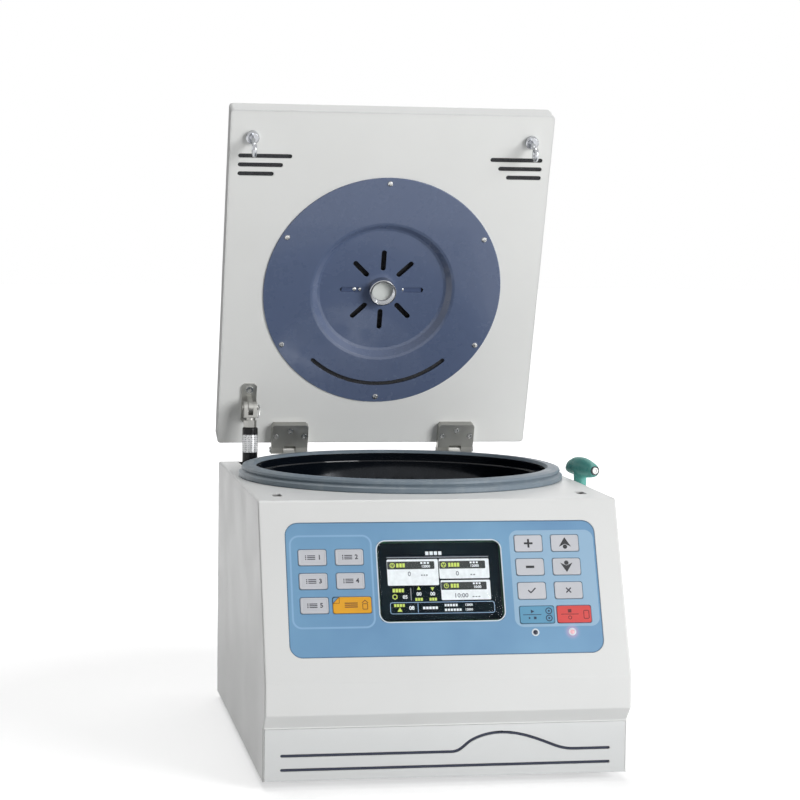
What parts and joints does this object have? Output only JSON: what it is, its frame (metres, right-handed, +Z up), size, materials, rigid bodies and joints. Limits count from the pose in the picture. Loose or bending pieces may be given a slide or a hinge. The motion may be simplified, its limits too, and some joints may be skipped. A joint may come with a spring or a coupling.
{
  "type": "benchtop centrifuge",
  "caption": "Benchtop high-speed centrifuge with a hinged square lid, gas strut, sloped keypad panel, gasketed chamber and a fixed-angle tube rotor.",
  "frame": {"origin": "on the bench, under the spindle axis, at the underside of the feet", "axes": "+Z up along the spindle, -Y towards the user at the front, +X to the user's right"},
  "size_m": [0.4002, 0.5275, 0.6926],
  "materials": {
    "case_white": "satin powder coat",
    "plinth_white": "satin powder coat",
    "rear_white": "satin powder coat",
    "base_steel": "zinc grey",
    "foot_rubber": "moulded",
    "bowl_black": "semi-gloss black",
    "gasket_rubber": "blue-grey silicone",
    "rotor_alu": "anodised",
    "nut_steel": "turned",
    "shaft_steel": "ground",
    "motor_alu": "cast",
    "plate_steel": "plain",
    "damper_rubber": "moulded",
    "boot_rubber": "moulded",
    "inverter_alu": "black anodised fins",
    "fan_black": "moulded",
    "fan_blade": "moulded",
    "overlay_blue": "printed film",
    "window_clear": "clear acrylic",
    "display_dark": "backlit",
    "board_green": "solder mask",
    "lamp_lens": "tinted",
    "key_grey": "satin",
    "key_orange": "satin",
    "key_blue": "satin",
    "key_red": "satin",
    "lock_steel": "zinc plated",
    "catch_steel": "hardened",
    "hinge_steel": "satin nickel",
    "pin_steel": "ground",
    "screw_steel": "blackened",
    "lid_white": "satin powder coat",
    "liner_white": "satin powder coat",
    "filler_foam": "closed-cell foam",
    "dish_blue": "blue-grey enamel",
    "plug_white": "moulded",
    "striker_chrome": "polished",
    "strut_black": "gloss black",
    "rod_chrome": "polished",
    "inlet_black": "moulded",
    "rocker_black": "moulded",
    "grip_teal": "moulded",
    "blade_steel": "nickel plated",
    "holder_grey": "moulded"
  },
  "bodies": {
    "casing": {"cover_shell": "case_white", "plinth_panel": "plinth_white", "base_pan": "base_steel", "feet": "foot_rubber", "rear_panel": "rear_white", "chamber_bowl": "bowl_black", "chamber_gasket": "gasket_rubber", "motor_mount_plate": "plate_steel", "motor_dampers": "damper_rubber", "drive_motor": "motor_alu", "spindle_boot": "boot_rubber", "control_board": "board_green", "keypad_overlay": "overlay_blue", "display_window": "window_clear", "display_module": "display_dark", "status_lamps": "lamp_lens", "lock_housings": "lock_steel", "hinge_brackets": "hinge_steel", "hinge_pins": "pin_steel", "strut_anchor": "plate_steel", "fan_frame": "fan_black", "power_entry": "inlet_black", "drive_inverter": "inverter_alu", "rotor_key_holder": "holder_grey"},
    "lid": {"lid_cover": "lid_white", "lid_liner": "liner_white", "lid_filler": "filler_foam", "lid_dish": "dish_blue", "dish_screws": "screw_steel", "centre_plug": "plug_white", "lid_strikers": "striker_chrome", "hinge_blocks": "hinge_steel", "lid_screws": "screw_steel", "strut_bracket": "hinge_steel"},
    "strut_tube": {"strut_clevis": "hinge_steel", "strut_tube": "strut_black"},
    "strut_rod": {"strut_rod": "rod_chrome"},
    "rotor": {"rotor_body": "rotor_alu", "rotor_nut": "nut_steel", "drive_shaft": "shaft_steel"},
    "catch_left": {"lock_catch_left": "catch_steel"},
    "catch_right": {"lock_catch_right": "catch_steel"},
    "rocker": {"power_rocker": "rocker_black"},
    "fan": {"fan_impeller": "fan_blade"},
    "rotor_key": {"rotor_key_grip": "grip_teal", "rotor_key_blade": "blade_steel"},
    "key_1": {"key_1": "key_grey"},
    "key_2": {"key_2": "key_grey"},
    "key_3": {"key_3": "key_grey"},
    "key_4": {"key_4": "key_grey"},
    "key_5": {"key_5": "key_grey"},
    "key_program": {"key_program": "key_orange"},
    "key_plus": {"key_plus": "key_grey"},
    "key_up": {"key_up": "key_grey"},
    "key_minus": {"key_minus": "key_grey"},
    "key_down": {"key_down": "key_grey"},
    "key_confirm": {"key_confirm": "key_grey"},
    "key_clear": {"key_clear": "key_grey"},
    "key_start": {"key_start": "key_blue"},
    "key_stop": {"key_stop": "key_red"}
  },
  "joints": [
    {"name": "lid_hinge", "type": "hinge", "parent": "casing", "child": "lid", "pos_m": [0, 0.201, 0.291], "axis": [1, 0, 0], "range_deg": [0, 70], "stiffness_Nm_per_rad": 5, "springref_deg": -126.05},
    {"name": "strut_swing", "type": "hinge", "parent": "lid", "child": "strut_tube", "pos_m": [-0.15, 0.1657, 0.34413], "axis": [1, 0, 0], "range_deg": [-61, 0]},
    {"name": "strut_rod_slide", "type": "slide", "parent": "strut_tube", "child": "strut_rod", "axis": [0, 0.0115, 0.9999], "range_m": [0, 0.066]},
    {"name": "rotor_spin", "type": "hinge", "parent": "casing", "child": "rotor", "pos_m": [0, 0, 0.15], "axis": [0, 0, 1], "continuous": true},
    {"name": "catch_left_slide", "type": "slide", "parent": "casing", "child": "catch_left", "axis": [-1, 0, 0], "range_m": [0, 0.012]},
    {"name": "catch_right_slide", "type": "slide", "parent": "casing", "child": "catch_right", "axis": [1, 0, 0], "range_m": [0, 0.012]},
    {"name": "rocker_tilt", "type": "hinge", "parent": "casing", "child": "rocker", "pos_m": [-0.07, 0.1785, 0.087], "axis": [1, 0, 0], "range_deg": [0, 20]},
    {"name": "fan_spin", "type": "hinge", "parent": "casing", "child": "fan", "pos_m": [0.095, 0.17, 0.092], "axis": [0, 1, 0], "continuous": true},
    {"name": "rotor_key_lift", "type": "slide", "parent": "casing", "child": "rotor_key", "axis": [0, 0, 1], "range_m": [0, 0.09]},
    {"name": "key_1_press", "type": "slide", "parent": "casing", "child": "key_1", "axis": [0, 0.9182, -0.3962], "range_m": [0, 0.0006], "stiffness_N_per_m": 1500},
    {"name": "key_2_press", "type": "slide", "parent": "casing", "child": "key_2", "axis": [0, 0.9182, -0.3962], "range_m": [0, 0.0006], "stiffness_N_per_m": 1500},
    {"name": "key_3_press", "type": "slide", "parent": "casing", "child": "key_3", "axis": [0, 0.9182, -0.3962], "range_m": [0, 0.0006], "stiffness_N_per_m": 1500},
    {"name": "key_4_press", "type": "slide", "parent": "casing", "child": "key_4", "axis": [0, 0.9182, -0.3962], "range_m": [0, 0.0006], "stiffness_N_per_m": 1500},
    {"name": "key_5_press", "type": "slide", "parent": "casing", "child": "key_5", "axis": [0, 0.9182, -0.3962], "range_m": [0, 0.0006], "stiffness_N_per_m": 1500},
    {"name": "key_program_press", "type": "slide", "parent": "casing", "child": "key_program", "axis": [0, 0.9182, -0.3962], "range_m": [0, 0.0006], "stiffness_N_per_m": 1500},
    {"name": "key_plus_press", "type": "slide", "parent": "casing", "child": "key_plus", "axis": [0, 0.9182, -0.3962], "range_m": [0, 0.0006], "stiffness_N_per_m": 1500},
    {"name": "key_up_press", "type": "slide", "parent": "casing", "child": "key_up", "axis": [0, 0.9182, -0.3962], "range_m": [0, 0.0006], "stiffness_N_per_m": 1500},
    {"name": "key_minus_press", "type": "slide", "parent": "casing", "child": "key_minus", "axis": [0, 0.9182, -0.3962], "range_m": [0, 0.0006], "stiffness_N_per_m": 1500},
    {"name": "key_down_press", "type": "slide", "parent": "casing", "child": "key_down", "axis": [0, 0.9182, -0.3962], "range_m": [0, 0.0006], "stiffness_N_per_m": 1500},
    {"name": "key_confirm_press", "type": "slide", "parent": "casing", "child": "key_confirm", "axis": [0, 0.9182, -0.3962], "range_m": [0, 0.0006], "stiffness_N_per_m": 1500},
    {"name": "key_clear_press", "type": "slide", "parent": "casing", "child": "key_clear", "axis": [0, 0.9182, -0.3962], "range_m": [0, 0.0006], "stiffness_N_per_m": 1500},
    {"name": "key_start_press", "type": "slide", "parent": "casing", "child": "key_start", "axis": [0, 0.9182, -0.3962], "range_m": [0, 0.0006], "stiffness_N_per_m": 1500},
    {"name": "key_stop_press", "type": "slide", "parent": "casing", "child": "key_stop", "axis": [0, 0.9182, -0.3962], "range_m": [0, 0.0006], "stiffness_N_per_m": 1500}
  ],
  "couplings": [
    {"joint": "strut_swing", "follows": "lid_hinge", "ratio": -0.848},
    {"joint": "strut_rod_slide", "follows": "lid_hinge", "m_per_rad": 0.05207}
  ]
}
